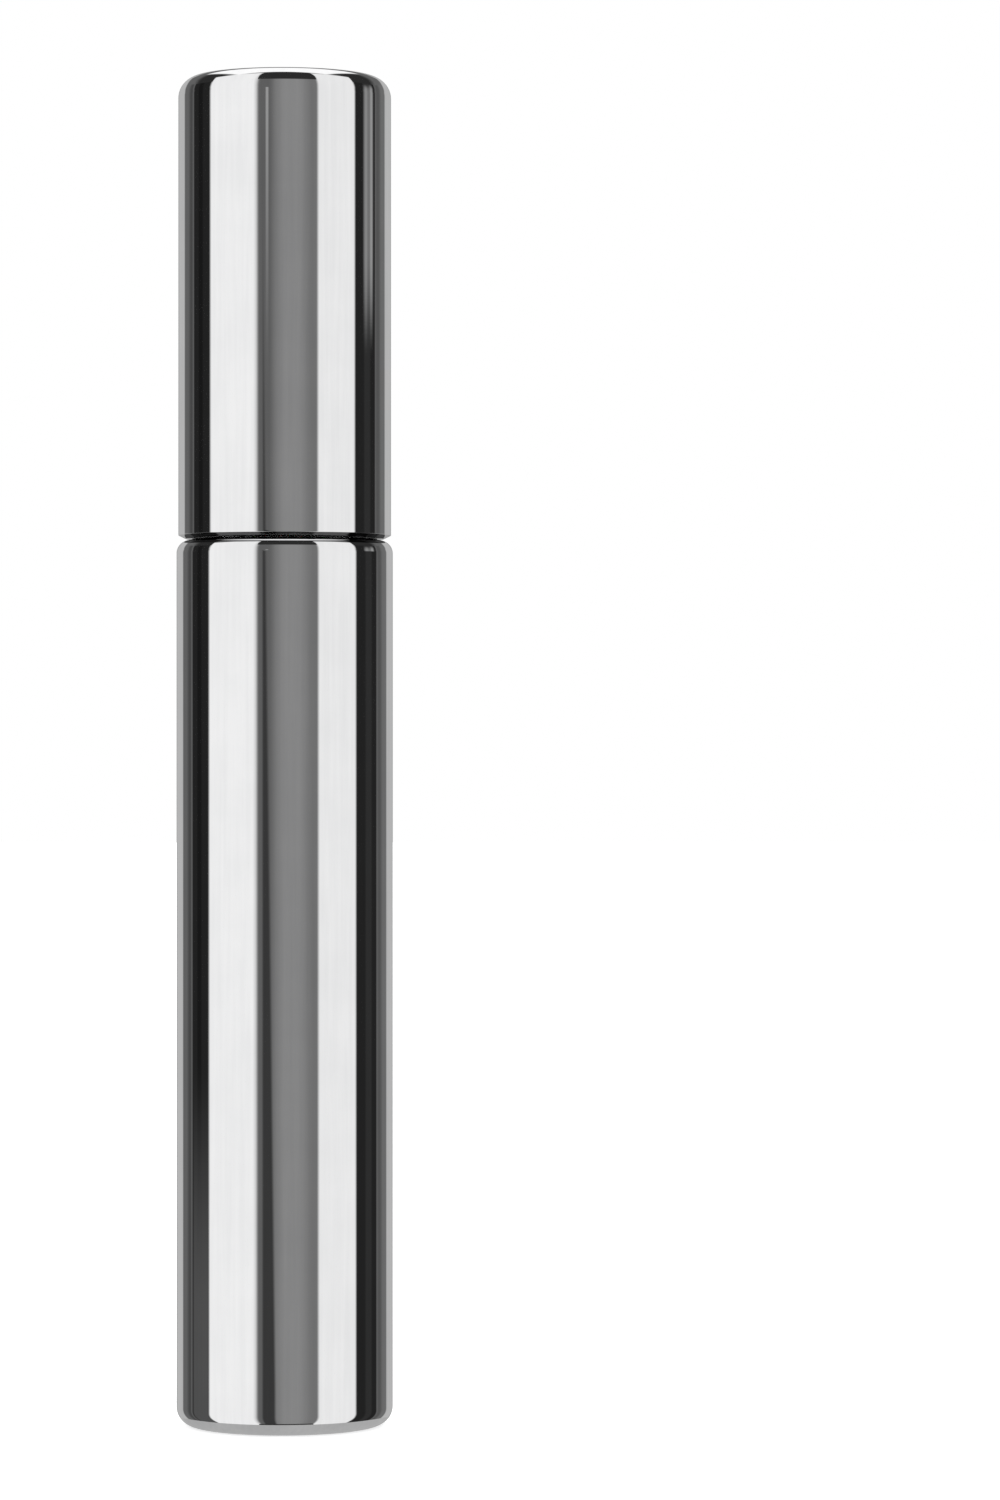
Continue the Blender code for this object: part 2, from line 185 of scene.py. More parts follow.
def rounded(corners):
    """An outline of (r, z) points from corners (r, z, fillet radius), each fillet a true arc."""
    made = []
    last = len(corners) - 1
    for i, corner in enumerate(corners):
        point = Vector(corner[:2])
        fillet = corner[2] if len(corner) > 2 else 0.0
        if not fillet or i in (0, last):
            made.append(tuple(point))
            continue
        back = (Vector(corners[i - 1][:2]) - point).normalized()
        ahead = (Vector(corners[i + 1][:2]) - point).normalized()
        half = back.angle(ahead) / 2
        centre = point + (back + ahead).normalized() * fillet / math.sin(half)
        first = point + back * fillet / math.tan(half) - centre
        turn = math.pi - 2 * half
        if first.cross(point - centre) < 0:
            turn = -turn
        steps = max(2, math.ceil(abs(turn) / ARC_STEP))
        for k in range(steps + 1):
            angle = turn * k / steps
            spun = Matrix.Rotation(angle, 2) @ first
            made.append(tuple(centre + spun))
    return made


def closed_rounded(corners):
    """The same for an outline that closes on itself."""
    looped = [corners[-1], *corners, corners[0]]
    return rounded(looped)[1:-1]


def held(points, closed=False):
    """The outline with a point near each end of its straight runs, so that shading stays true."""
    made = []
    count = len(points)
    for i, start in enumerate(points):
        made.append(start)
        if i == count - 1 and not closed:
            break
        a, b = Vector(start), Vector(points[(i + 1) % count])
        length = (b - a).length
        if length > 5 * HOLD:
            along = (b - a) / length
            made.append(tuple(a + along * HOLD))
            made.append(tuple(b - along * HOLD))
    return made


def with_rows(points, radius, z_low, z_high, row):
    """The outline with many rows where it runs straight at this radius, to raise a thread from."""
    made = []
    for a, b in zip(points, points[1:]):
        made.append(a)
        straight = abs(a[0] - radius) < 0.01 * MM and abs(b[0] - radius) < 0.01 * MM
        inside = min(a[1], b[1]) < z_high and max(a[1], b[1]) > z_low
        if straight and inside and abs(a[1] - b[1]) > row:
            count = round(abs(a[1] - b[1]) / row)
            made += [(radius, a[1] + (b[1] - a[1]) * k / count) for k in range(1, count)]
    made.append(points[-1])
    return made


def new_piece(name, vertices, faces, material, crease_degrees=32):
    mesh = bpy.data.meshes.new(name)
    mesh.from_pydata(vertices, [], faces)
    mesh.materials.append(material)
    mesh.shade_smooth()
    mesh.set_sharp_from_angle(angle=math.radians(crease_degrees))
    piece = bpy.data.objects.new(name, mesh)
    bpy.context.scene.collection.objects.link(piece)
    return piece


def revolved(name, points, material, closed=False, segments=SEGMENTS, relief=None):
    """A turned piece. The outline runs down the outer side. relief(r, z, angle) adds to r."""
    vertices, faces, rings = [], [], []
    for r, z in points:
        if r < 1e-7:
            rings.append([len(vertices)] * segments)
            vertices.append((0.0, 0.0, z))
            continue
        rings.append(range(len(vertices), len(vertices) + segments))
        for k in range(segments):
            angle = math.tau * k / segments
            radius = r + (relief(r, z, angle) if relief else 0.0)
            vertices.append((radius * math.cos(angle), radius * math.sin(angle), z))
    pairs = list(zip(rings, rings[1:]))
    if closed:
        pairs.append((rings[-1], rings[0]))
    for upper, lower in pairs:
        for k in range(segments):
            n = (k + 1) % segments
            corners = (upper[k], lower[k], lower[n], upper[n])
            faces.append(tuple(dict.fromkeys(corners)))
    return new_piece(name, vertices, faces, material)


def tube_mesh(points, radius, sides, vertices, faces):
    """Adds a round tube with flat ends along these points, without a twist of its own."""
    path = [Vector(p) for p in points]
    start = len(vertices)
    side = None
    for i, point in enumerate(path):
        along = (path[min(i + 1, len(path) - 1)] - path[max(i - 1, 0)]).normalized()
        if side is None:
            side = along.orthogonal()
        side = (side - along * side.dot(along)).normalized()
        other = along.cross(side)
        for k in range(sides):
            angle = math.tau * k / sides
            outward = side * math.cos(angle) + other * math.sin(angle)
            vertices.append(tuple(point + outward * radius))
    for i in range(len(path) - 1):
        for k in range(sides):
            n = (k + 1) % sides
            a, b = start + i * sides, start + (i + 1) * sides
            faces.append((a + k, a + n, b + n, b + k))
    faces.append(tuple(start + k for k in reversed(range(sides))))
    end = start + (len(path) - 1) * sides
    faces.append(tuple(end + k for k in range(sides)))


def smooth_step(value, start, end):
    share = min(1.0, max(0.0, (value - start) / (end - start)))
    return share * share * (3 - 2 * share)


def thread_height(z, angle, z_start, first_turn, turns, height):
    """How far a right-hand thread stands off its wall at this place, with its ends run out."""
    turn = (z - z_start) / THREAD_LEAD
    nearest = round(turn - angle / math.tau) + angle / math.tau
    from_end = min(nearest - first_turn, first_turn + turns - nearest)
    if from_end < 0:
        return 0.0
    grown = height * smooth_step(from_end, 0.0, THREAD_RUN_OUT)
    off = abs(turn - nearest) * THREAD_LEAD
    return grown * (1.0 - smooth_step(off, THREAD_CREST * height, THREAD_FOOT * height))


# ---------------------------------------------------------------- materials


def add(tree, kind, settings=None, **inputs):
    """A shader node. Each input is a constant or another node's output."""
    node = tree.nodes.new(kind)
    for key, value in (settings or {}).items():
        setattr(node, key, value)
    for key, value in inputs.items():
        socket = node.inputs[int(key[1:])] if key[0] == "i" and key[1:].isdigit() else None
        socket = socket or node.inputs[key.replace("_", " ")]
        if isinstance(value, bpy.types.NodeSocket):
            tree.links.new(value, socket)
        else:
            socket.default_value = value
    return node


def maths(tree, operation, *values, clamp=False):
    node = tree.nodes.new("ShaderNodeMath")
    node.operation = operation
    node.use_clamp = clamp
    for i, value in enumerate(values):
        if isinstance(value, bpy.types.NodeSocket):
            tree.links.new(value, node.inputs[i])
        else:
            node.inputs[i].default_value = value
    return node.outputs[0]


def ranged(tree, value, start, end, low_value, high_value):
    """value from start to end, mapped smoothly to low_value to high_value."""
    node = tree.nodes.new("ShaderNodeMapRange")
    node.interpolation_type = "SMOOTHSTEP"
    tree.links.new(value, node.inputs["Value"])
    for name, number in (
        ("From Min", start),
        ("From Max", end),
        ("To Min", low_value),
        ("To Max", high_value),
    ):
        node.inputs[name].default_value = number
    return node.outputs["Result"]


def mixed(tree, share, first, second):
    """A mix of two values: the first at a share of 0, the second at 1."""
    node = tree.nodes.new("ShaderNodeMix")
    node.data_type = "FLOAT"
    for index, value in ((0, share), (2, first), (3, second)):
        if isinstance(value, bpy.types.NodeSocket):
            tree.links.new(value, node.inputs[index])
        else:
            node.inputs[index].default_value = value
    return node.outputs[0]


def product(tree, first, *others):
    """All of these multiplied together."""
    for other in others:
        first = maths(tree, "MULTIPLY", first, other)
    return first


def ramp(tree, factor, stops):
    """A colour ramp from (place 0 to 1, colour) stops."""
    node = tree.nodes.new("ShaderNodeValToRGB")
    elements = node.color_ramp.elements
    elements[0].position, elements[0].color = stops[0][0], (*stops[0][1], 1.0)
    elements[1].position, elements[1].color = stops[-1][0], (*stops[-1][1], 1.0)
    for place, colour in stops[1:-1]:
        elements.new(place).color = (*colour, 1.0)
    tree.links.new(factor, node.inputs["Fac"])
    return node.outputs["Color"]


def millimetres(tree, stretch=(1.0, 1.0, 1.0)):
    """The piece's own coordinates, in millimetres, times stretch."""
    place = add(tree, "ShaderNodeTexCoord").outputs["Object"]
    scaled = add(tree, "ShaderNodeVectorMath", {"operation": "MULTIPLY"}, i0=place)
    scaled.inputs[1].default_value = [1000.0 * s for s in stretch]
    return scaled.outputs[0]


def lathe_lines(tree, fineness):
    """Coordinates that run quickly along the outline and slowly round it, as turning marks do."""
    split = add(tree, "ShaderNodeSeparateXYZ", Vector=millimetres(tree))
    x, y, z = split.outputs
    squared = maths(tree, "ADD", maths(tree, "MULTIPLY", x, x), maths(tree, "MULTIPLY", y, y))
    along = maths(tree, "ADD", maths(tree, "SQRT", squared), z)
    joined = add(
        tree,
        "ShaderNodeCombineXYZ",
        X=maths(tree, "MULTIPLY", along, fineness),
        Y=maths(tree, "MULTIPLY", x, 0.12),
        Z=maths(tree, "MULTIPLY", y, 0.12),
    )
    return joined.outputs[0]


def noise(tree, vector, scale, detail=4.0, roughness=0.5):
    made = add(
        tree, "ShaderNodeTexNoise", Vector=vector, Scale=scale, Detail=detail, Roughness=roughness
    )
    return made.outputs["Fac"]


def bump(tree, height, strength, distance, normal=None):
    made = add(tree, "ShaderNodeBump", Height=height, Strength=strength, Distance=distance)
    if normal:
        tree.links.new(normal, made.inputs["Normal"])
    return made.outputs["Normal"]


def new_material(name, metallic=0.0, ior=1.5, **constants):
    """A material with its Principled shader; constants are set on the shader's own sockets."""
    made = bpy.data.materials.new(name)
    made.use_nodes = True
    tree = made.node_tree
    shader = tree.nodes["Principled BSDF"]
    shader.inputs["Metallic"].default_value = metallic
    shader.inputs["IOR"].default_value = ior
    for key, value in constants.items():
        shader.inputs[key.replace("_", " ")].default_value = value
    return made, tree, shader


def finish_material(tree, shader, colour, roughness, normal=None):
    tree.links.new(colour, shader.inputs["Base Color"])
    tree.links.new(roughness, shader.inputs["Roughness"])
    if normal:
        tree.links.new(normal, shader.inputs["Normal"])


def grey(value):
    return (value, value, value)


def mirror_metal():
    """Bright plating: faint lathe rings, streaks along the draw, and a haze that cloths leave."""
    made, tree, shader = new_material("mirror metal", metallic=1.0)
    lines = noise(tree, lathe_lines(tree, 9.0), 1.0, detail=3.0)
    haze = noise(tree, millimetres(tree), 0.16, detail=5.0, roughness=0.6)
    drawn = noise(tree, millimetres(tree, (1.0, 1.0, 0.03)), 2.6, detail=3.0)
    clouded = mixed(tree, 0.5, haze, drawn)
    tone = ramp(tree, clouded, [(0.38, (0.856, 0.858, 0.864)), (0.62, (0.912, 0.912, 0.916))])
    polish = maths(tree, "MULTIPLY_ADD", lines, 0.01, ranged(tree, haze, 0.35, 0.75, 0.012, 0.03))
    relief = bump(tree, lines, 0.008, 0.01 * MM)
    finish_material(tree, shader, tone, polish, relief)
    return made


def black_gloss():
    """Injection-moulded black plastic: a deep gloss with the faint unevenness of a moulded face."""
    made, tree, shader = new_material("black gloss plastic", ior=1.42)
    flow = noise(tree, millimetres(tree, (1.0, 1.0, 0.25)), 0.9, detail=3.0)
    grain = noise(tree, millimetres(tree), 6.0, detail=2.0)
    tone = ramp(tree, flow, [(0.3, (0.001, 0.001, 0.0012)), (0.7, (0.003, 0.003, 0.0033))])
    gloss = ranged(tree, flow, 0.3, 0.7, 0.05, 0.1)
    relief = bump(tree, grain, 0.05, 0.01 * MM)
    finish_material(tree, shader, tone, gloss, relief)
    return made


def clear_plastic():
    """Natural PETG, clear with a cool cast, with faint flow lines down the neck."""
    made, tree, shader = new_material("clear plastic", ior=1.57, Transmission_Weight=0.82)
    flow = noise(tree, millimetres(tree, (2.2, 2.2, 0.3)), 0.6, detail=3.0)
    tone = ramp(tree, flow, [(0.3, (0.84, 0.87, 0.88)), (0.7, (0.91, 0.93, 0.93))])
    gloss = ranged(tree, flow, 0.3, 0.7, 0.07, 0.16)
    relief = bump(tree, flow, 0.12, 0.03 * MM)
    finish_material(tree, shader, tone, gloss, relief)
    return made


def soft_plastic():
    """Natural LDPE: milky, waxy, and a little uneven from the mould."""
    made, tree, shader = new_material(
        "soft milky plastic", ior=1.51, Subsurface_Weight=0.35, Subsurface_Scale=0.0008
    )
    cloud = noise(tree, millimetres(tree), 0.7, detail=4.0)
    grain = noise(tree, millimetres(tree), 14.0, detail=2.0)
    tone = ramp(tree, cloud, [(0.3, (0.80, 0.80, 0.775)), (0.7, (0.88, 0.88, 0.865))])
    wax = ranged(tree, cloud, 0.3, 0.7, 0.32, 0.46)
    relief = bump(tree, grain, 0.15, 0.01 * MM)
    finish_material(tree, shader, tone, wax, relief)
    return made


def foam():
    """Closed-cell white foam, with its cells about 0.15 mm across."""
    made, tree, shader = new_material("white foam", ior=1.45)
    cells = add(tree, "ShaderNodeTexVoronoi", Vector=millimetres(tree), Scale=6.5)
    distance = cells.outputs["Distance"]
    # Painted shade: the tone darkens towards each cell's edge, in the grooves that the bump sinks
    # there.
    tone = ramp(tree, distance, [(0.1, (0.86, 0.86, 0.845)), (0.75, (0.72, 0.72, 0.70))])
    rough = ranged(tree, distance, 0.0, 0.8, 0.72, 0.9)
    relief = bump(tree, distance, 0.5, -0.04 * MM)
    finish_material(tree, shader, tone, rough, relief)
    return made


def rubber():
    """Black nitrile rubber: satin, with talc caught in a fine grain."""
    made, tree, shader = new_material("black rubber", ior=1.5)
    grain = noise(tree, millimetres(tree), 9.0, detail=5.0)
    dust = noise(tree, millimetres(tree), 1.6, detail=4.0)
    tone = ramp(tree, dust, [(0.35, (0.016, 0.016, 0.017)), (0.75, (0.05, 0.05, 0.05))])
    rough = ranged(tree, grain, 0.3, 0.7, 0.42, 0.62)
    relief = bump(tree, grain, 0.3, 0.02 * MM)
    finish_material(tree, shader, tone, rough, relief)
    return made


def turned_steel():
    """Zinc-plated steel, with the lathe's marks and a faint warm and cool bloom."""
    made, tree, shader = new_material("turned steel", metallic=1.0)
    lines = noise(tree, lathe_lines(tree, 6.0), 1.0, detail=4.0, roughness=0.6)
    bloom = noise(tree, millimetres(tree), 0.35, detail=3.0)
    cool, plain, warm = (0.53, 0.54, 0.57), (0.6, 0.6, 0.6), (0.62, 0.6, 0.55)
    tone = ramp(tree, bloom, [(0.3, cool), (0.55, plain), (0.75, warm)])
    rough = ranged(tree, lines, 0.3, 0.7, 0.26, 0.42)
    relief = bump(tree, lines, 0.35, 0.015 * MM)
    finish_material(tree, shader, tone, rough, relief)
    return made


def drawn_wire():
    """Stainless wire with the die's streaks, darker and lighter in places at random."""
    made, tree, shader = new_material("drawn wire", metallic=1.0)
    streaks = noise(tree, millimetres(tree, (1.0, 1.0, 0.45)), 7.0, detail=3.0)
    stain = noise(tree, millimetres(tree), 1.4, detail=3.0)
    tone = ramp(tree, stain, [(0.3, (0.66, 0.65, 0.64)), (0.7, (0.9, 0.895, 0.885))])
    rough = ranged(tree, streaks, 0.3, 0.7, 0.26, 0.42)
    relief = bump(tree, streaks, 0.2, 0.01 * MM)
    finish_material(tree, shader, tone, rough, relief)
    return made


def nylon():
    """Clear grey nylon fibre: each one a little lighter or darker, warm, with a soft gloss."""
    made, tree, shader = new_material(
        "nylon fibre", ior=1.53, Transmission_Weight=0.6, Specular_IOR_Level=0.3
    )
    each = noise(tree, millimetres(tree, (0.7, 0.7, 9.0)), 1.0, detail=2.0)
    tone = ramp(tree, each, [(0.3, (0.9, 0.893, 0.88)), (0.7, (0.98, 0.975, 0.965))])
    gloss = ranged(tree, each, 0.3, 0.7, 0.34, 0.48)
    relief = bump(tree, each, 0.1, 0.005 * MM)
    finish_material(tree, shader, tone, gloss, relief)
    return made


def label_film():
    """White printable film, slightly fibrous, with a soft sheen."""
    made, tree, shader = new_material("label film", ior=1.48)
    fibre = noise(tree, millimetres(tree, (1.0, 3.0, 1.0)), 2.4, detail=6.0, roughness=0.65)
    tone = ramp(tree, fibre, [(0.3, (0.80, 0.80, 0.79)), (0.7, (0.87, 0.87, 0.865))])
    rough = ranged(tree, fibre, 0.3, 0.7, 0.4, 0.55)
    relief = bump(tree, fibre, 0.12, 0.01 * MM)
    finish_material(tree, shader, tone, rough, relief)
    return made


# ---------------------------------------------------------------- the pieces


def placed(piece, body, slot, *nodes):
    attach(piece, body)
    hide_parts(*nodes)
    return piece


def bottle_case(material):
    """The bright outer shell, with its rolled mouth, foot ring and recessed base."""
    radius, top = high("bottle_shell").x, high("bottle_shell").z
    inner = radius - SHELL_WALL
    floor = RECESS_DEPTH + SHELL_FLOOR
    corners = [
        (0, floor),
        (inner, floor, 0.25 * MM),
        (inner, top, LIP_EDGE),
        (radius, top, SHOULDER_FILLET),
        (radius, 0, BASE_FILLET),
        (RECESS_RADIUS + RECESS_DRAFT, 0, RECESS_ROUNDING),
        (RECESS_RADIUS, RECESS_DEPTH, RECESS_ROUNDING),
        (0, RECESS_DEPTH),
    ]
    piece = revolved("bottle_case", held(rounded(corners)), material)
    return placed(piece, "bottle", "mirror_metal", "bottle_shell")


def cap_case(material):
    """The bright outer shell of the cap, open at the bottom."""
    radius, top = high("cap_shell").x, high("cap_shell").z
    rim = low("cap_shell").z
    inner = radius - SHELL_WALL
    corners = [
        (0, top),
        (radius, top, CAP_TOP_FILLET),
        (radius, rim + CAP_RIM_RISE, RIM_EDGE),
        (radius - CAP_RIM_BEVEL, rim, LIP_EDGE),
        (inner, rim, LIP_EDGE),
        (inner, top - SHELL_WALL, CAP_TOP_FILLET - SHELL_WALL),
        (0, top - SHELL_WALL),
    ]
    piece = revolved("cap_case", held(rounded(corners)), material)
    return placed(piece, "applicator", "mirror_metal", "cap_shell")


def neck_collar(material):
    """The bright ring between the shell's mouth and the neck."""
    inner, outer = NECK_RADIUS + COLLAR_CLEARANCE, high("shoulder_collar").x
    bottom, top = low("shoulder_collar").z, high("shoulder_collar").z
    edge = 0.25 * MM
    corners = [
        (inner, bottom, LIP_EDGE),
        (inner, top, edge),
        (outer, top, edge),
        (outer, bottom, LIP_EDGE),
    ]
    piece = revolved("neck_collar", held(closed_rounded(corners), True), material, closed=True)
    return placed(piece, "bottle", "mirror_metal", "shoulder_collar")


def vial(material):
    """The clear vial, with a rounded-V thread on its neck."""
    outer, bottom, top = high("inner_bottle").x, low("inner_bottle").z, high("inner_bottle").z
    inner = outer - VIAL_WALL
    floor = bottom + VIAL_FLOOR
    shoulder = VIAL_SHOULDER_Z - VIAL_WALL
    corners = [
        (0, floor),
        (inner, floor, VIAL_EDGE),
        (inner, shoulder - (inner - NECK_BORE), 1.0 * MM),
        (NECK_BORE, shoulder, 1.0 * MM),
        (NECK_BORE, top, 0.12 * MM),
        (NECK_RADIUS, top, 0.25 * MM),
        (NECK_RADIUS, VIAL_SHOULDER_Z, 0.3 * MM),
        (outer, VIAL_SHOULDER_Z, VIAL_EDGE),
        (outer, bottom, VIAL_EDGE),
        (0, bottom),
    ]
    end_z = NECK_THREAD_Z + NECK_THREAD_TURNS * THREAD_LEAD
    points = with_rows(rounded(corners), NECK_RADIUS, NECK_THREAD_Z, end_z, THREAD_ROW)

    def thread(r, z, angle):
        if abs(r - NECK_RADIUS) > 0.01 * MM:
            return 0.0
        return thread_height(z, angle, NECK_THREAD_Z, 0.0, NECK_THREAD_TURNS, NECK_THREAD_HEIGHT)

    piece = revolved("vial", held(points), material, relief=thread)
    return placed(piece, "bottle", "clear_plastic", "inner_bottle")


def wiper_sleeve(material):
    """The soft sleeve in the neck: a flange on the rim, a sealing bead, and the wiping lip."""
    flange_radius = high("wiper").x
    flange_top, lip_z = high("wiper").z, low("wiper").z
    flange_bottom = flange_top - WIPER_FLANGE
    bead_z = flange_top - WIPER_BEAD_DEPTH
    bead_half = 4 * WIPER_BEAD
    lip_outer = WIPER_LIP_RADIUS + WIPER_LIP_WALL
    corners = [
        (WIPER_BORE, flange_top, 0.3 * MM),
        (flange_radius, flange_top, 0.18 * MM),
        (flange_radius, flange_bottom, 0.12 * MM),
        (WIPER_SKIRT_RADIUS, flange_bottom, 0.1 * MM),
        (WIPER_SKIRT_RADIUS, bead_z + bead_half, 0.2 * MM),
        (WIPER_SKIRT_RADIUS + WIPER_BEAD, bead_z, 0.3 * MM),
        (WIPER_SKIRT_RADIUS, bead_z - bead_half, 0.2 * MM),
        (WIPER_SKIRT_RADIUS, WIPER_SKIRT_Z, 0.5 * MM),
        (lip_outer, lip_z, 0.15 * MM),
        (WIPER_LIP_RADIUS, lip_z, 0.2 * MM),
        (WIPER_LIP_RADIUS, lip_z + WIPER_LIP_WALL, 0.2 * MM),
        (WIPER_BORE, WIPER_SKIRT_Z, 0.5 * MM),
    ]
    outline = held(closed_rounded(corners), True)
    piece = revolved("wiper_sleeve", outline, material, closed=True, segments=SMALL_SEGMENTS)
    return placed(piece, "bottle", "soft_plastic", "wiper")


def seal_washer(material):
    """The die-cut foam ring, pressed in a little where the neck's rim bears on it."""
    outer, top = high("cap_seal_washer").x, high("cap_seal_washer").z
    bottom = low("cap_seal_washer").z
    press = 0.07 * MM
    corners = [
        (WASHER_BORE, top, 0.1 * MM),
        (outer, top, 0.1 * MM),
        (outer, bottom, 0.08 * MM),
        (outer - 0.3 * MM, bottom, 0.05 * MM),
        (outer - 0.42 * MM, bottom + press, 0.05 * MM),
        (WIPER_BORE + 0.25 * MM, bottom + press, 0.05 * MM),
        (WIPER_BORE + 0.1 * MM, bottom, 0.05 * MM),
        (WASHER_BORE, bottom, 0.08 * MM),
    ]
    outline = held(closed_rounded(corners), True)
    piece = revolved("seal_washer", outline, material, closed=True, segments=SMALL_SEGMENTS)
    return placed(piece, "neck_seal", "foam", "cap_seal_washer")


def o_ring(material):
    """The rubber ring, with the hair-thin flash line that its mould leaves round it."""
    outer, bottom, top = high("wand_o_ring").x, low("wand_o_ring").z, high("wand_o_ring").z
    section = (top - bottom) / 2
    centre = outer - section
    middle = (bottom + top) / 2
    flash = 0.02 * MM
    steps = 48
    points = []
    for k in range(steps):
        angle = -math.tau * k / steps
        on_seam = max(0.0, 1.0 - abs(math.sin(angle)) * steps / math.tau) * (math.cos(angle) > 0)
        reach = section - flash + flash * on_seam
        points.append((centre + reach * math.cos(angle), middle + reach * math.sin(angle)))
    piece = revolved("o_ring", points, material, closed=True, segments=SMALL_SEGMENTS)
    return placed(piece, "ring", "rubber", "wand_o_ring")


def cap_liner(material):
    """The black liner, with the thread in its mouth, crush ribs outside and the wand's socket."""
    outer, bottom, top = high("inner_cap").x, low("inner_cap").z, high("inner_cap").z
    web_top = WEB_BOTTOM_Z + WEB_THICKNESS
    roof = SOCKET_TOP_Z + BOSS_ROOF
    rib_depth = 0.12 * MM
    ribs = 16
    corners = [
        (0, roof),
        (BOSS_RADIUS, roof, 0.3 * MM),
        (BOSS_RADIUS, web_top, 0.3 * MM),
        (UPPER_BORE, web_top, 0.3 * MM),
        (UPPER_BORE, top, 0.15 * MM),
        (outer, top, 0.25 * MM),
        (outer, bottom, 0.3 * MM),
        (INNER_CAP_BORE, bottom, 0.25 * MM),
        (INNER_CAP_BORE, WEB_BOTTOM_Z, 0.3 * MM),
        (SOCKET_RADIUS, WEB_BOTTOM_Z, 0.1 * MM),
        (SOCKET_RADIUS, SOCKET_TOP_Z, 0.2 * MM),
        (0, SOCKET_TOP_Z),
    ]
    start_z = NECK_THREAD_Z + THREAD_LEAD / 2
    end_turn = CAP_THREAD_START + CAP_THREAD_TURNS
    end_z = start_z + THREAD_LEAD * end_turn
    points = with_rows(rounded(corners), INNER_CAP_BORE, start_z, end_z, THREAD_ROW)

    def relief(r, z, angle):
        if abs(r - INNER_CAP_BORE) < 0.01 * MM:
            return -thread_height(
                z, angle, start_z, CAP_THREAD_START, CAP_THREAD_TURNS, CAP_THREAD_HEIGHT
            )
        if abs(r - outer) < 0.01 * MM and z > bottom + 2.0 * MM:
            return -rib_depth * smooth_step(abs(math.sin(ribs * angle / 2)), 0.25, 0.45)
        return 0.0

    piece = revolved("cap_liner", held(points), material, relief=relief)
    return placed(piece, "applicator", "black_plastic", "inner_cap")


def slug(name, node, body, material):
    """A turned steel weight: chamfered edges, a tool groove, and a centre dimple in each face."""
    radius, bottom, top = high(node).x, low(node).z, high(node).z
    chamfer = 0.8 * MM
    dimple = 0.5 * MM
    groove = 0.12 * MM
    middle = (bottom + top) / 2
    corners = [
        (0, top - dimple),
        (0.7 * MM, top, 0.08 * MM),
        (radius - chamfer, top, 0.1 * MM),
        (radius, top - chamfer, 0.1 * MM),
        (radius, middle + groove, 0.03 * MM),
        (radius - groove, middle, 0.03 * MM),
        (radius, middle - groove, 0.03 * MM),
        (radius, bottom + chamfer, 0.1 * MM),
        (radius - chamfer, bottom, 0.1 * MM),
        (0.7 * MM, bottom, 0.08 * MM),
        (0, bottom + dimple),
    ]
    piece = revolved(name, held(rounded(corners)), material, segments=SMALL_SEGMENTS)
    return placed(piece, body, "steel", node)


def base_film(material):
    """The blank label in the base's recess, a thin disc with a soft cut edge."""
    radius, bottom, top = high("base_label").x, low("base_label").z, high("base_label").z
    edge = 0.06 * MM
    corners = [(0, top), (radius, top, edge), (radius, bottom, edge), (0, bottom)]
    piece = revolved("base_film", held(rounded(corners)), material, segments=SMALL_SEGMENTS)
    return placed(piece, "bottle", "label", "base_label")


def wand(material):
    """The rod, with its collar, the O-ring's groove and the moulding's two parting lines."""
    tip, spigot = low("wand_rod").z, high("wand_rod").z
    collar_radius = high("wand_rod").x
    ring_low, ring_high = low("wand_o_ring").z, high("wand_o_ring").z
    section = (ring_high - ring_low) / 2
    groove = high("wand_o_ring").x - 2 * section - GROOVE_CLEARANCE
    collar_top = WEB_BOTTOM_Z - 0.3 * MM
    parting = 0.008 * MM
    corners = [
        (0, spigot),
        (ROD_RADIUS, spigot, ROD_TIP_EDGE),
        (ROD_RADIUS, collar_top, 0.1 * MM),
        (collar_radius, collar_top, 0.15 * MM),
        (collar_radius, ring_high + GROOVE_CLEARANCE, 0.08 * MM),
        (groove, ring_high + GROOVE_CLEARANCE, 0.08 * MM),
        (groove, ring_low - GROOVE_CLEARANCE, 0.08 * MM),
        (collar_radius, ring_low - GROOVE_CLEARANCE, 0.08 * MM),
        (collar_radius, ROD_COLLAR_BOTTOM_Z, 0.25 * MM),
        (ROD_RADIUS, ROD_COLLAR_BOTTOM_Z - (collar_radius - ROD_RADIUS), 0.4 * MM),
    ]
    steps = 12
    for k in range(steps):
        above = ROD_TIP_LENGTH * (1.0 - k / steps)
        share = 1.0 - above / ROD_TIP_LENGTH
        corners.append((ROD_RADIUS - ROD_TIP_DRAFT * share**2, tip + above))
    corners += [
        (ROD_RADIUS - ROD_TIP_DRAFT, tip, ROD_TIP_EDGE),
        (ROD_HOLE_RADIUS, tip, 0.12 * MM),
        (ROD_HOLE_RADIUS, tip + ROD_HOLE_DEPTH, 0.2 * MM),
        (0, tip + ROD_HOLE_DEPTH),
    ]

    def seam(r, z, angle):
        if r < ROD_HOLE_RADIUS + 0.2 * MM:
            return 0.0
        return parting * (1.0 - smooth_step(abs(math.sin(angle)), 0.02, 0.07))

    piece = revolved("wand", held(rounded(corners)), material, segments=SMALL_SEGMENTS, relief=seam)
    return placed(piece, "applicator", "black_plastic", "wand_rod")


def loop_centre():
    return low("brush_wire").z + WIRE_RADIUS + WIRE_LOOP_RADIUS


def wire_angle(z):
    """Which way one strand lies from the axis at this height."""
    return -math.tau * (z - loop_centre()) / WIRE_LEAD


